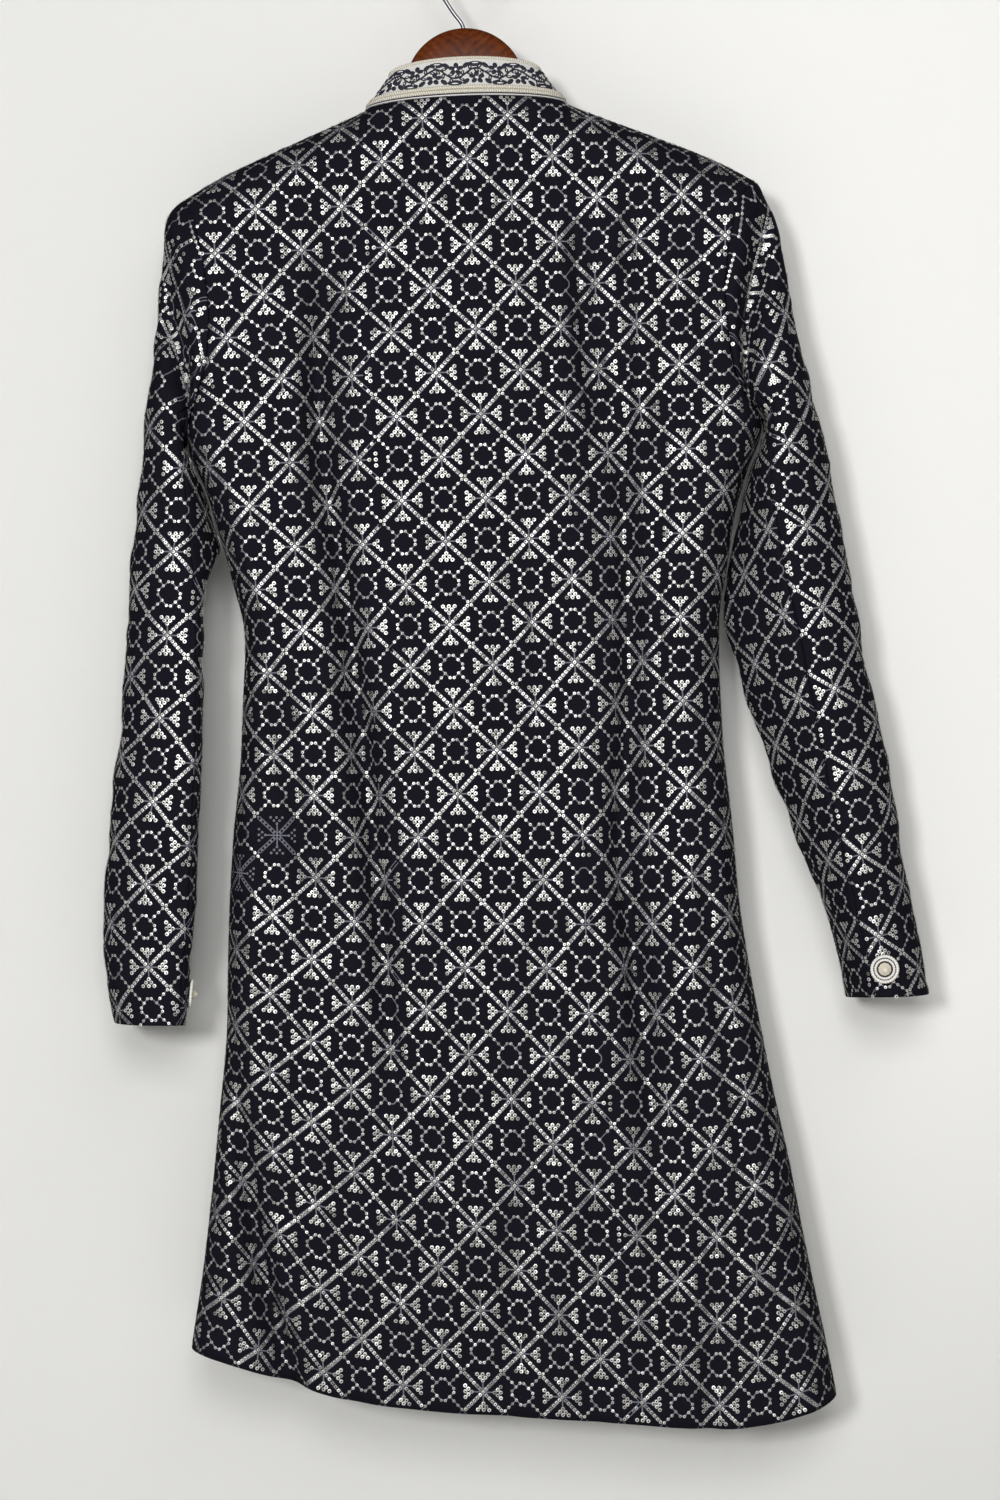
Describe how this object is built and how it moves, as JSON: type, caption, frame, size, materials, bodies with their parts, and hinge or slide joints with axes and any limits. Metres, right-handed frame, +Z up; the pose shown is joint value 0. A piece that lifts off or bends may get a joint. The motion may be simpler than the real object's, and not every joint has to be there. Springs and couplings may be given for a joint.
{
  "type": "kurta on hanger",
  "caption": "Long-sleeved band-collar kurta in dark embroidered cloth with side slits and cuff buttons, hanging on a wooden hanger with a wire hook.",
  "frame": {"origin": "the inside top of the hanger's hook, where a rail carries it", "axes": "+Z up along the garment's length, +X towards the wearer's right as seen from behind (the garment's back faces -Y), +Y the way the garment's front faces"},
  "size_m": [0.6405, 0.0973, 1.167],
  "materials": {
    "navy_cloth": "matte woven cotton, very dark navy",
    "cream_band": "close embroidery with small bright crystals",
    "pearl_button": "white beads round a faceted dome",
    "hanger_wood": "polished dark red-brown wood",
    "hanger_wire": "bright drawn wire"
  },
  "bodies": {
    "root": {"back_panel": "navy_cloth", "front_panel": "navy_cloth", "left_top_sleeve": "navy_cloth", "left_under_sleeve": "navy_cloth", "right_top_sleeve": "navy_cloth", "right_under_sleeve": "navy_cloth", "front_placket": "navy_cloth", "collar": "cream_band", "left_cuff_button": "pearl_button", "right_cuff_button": "pearl_button", "hanger_wood": "hanger_wood", "hanger_hook": "hanger_wire", "front_button_1": "pearl_button", "front_button_2": "pearl_button", "front_button_3": "pearl_button", "front_button_4": "pearl_button"}
  },
  "joints": []
}
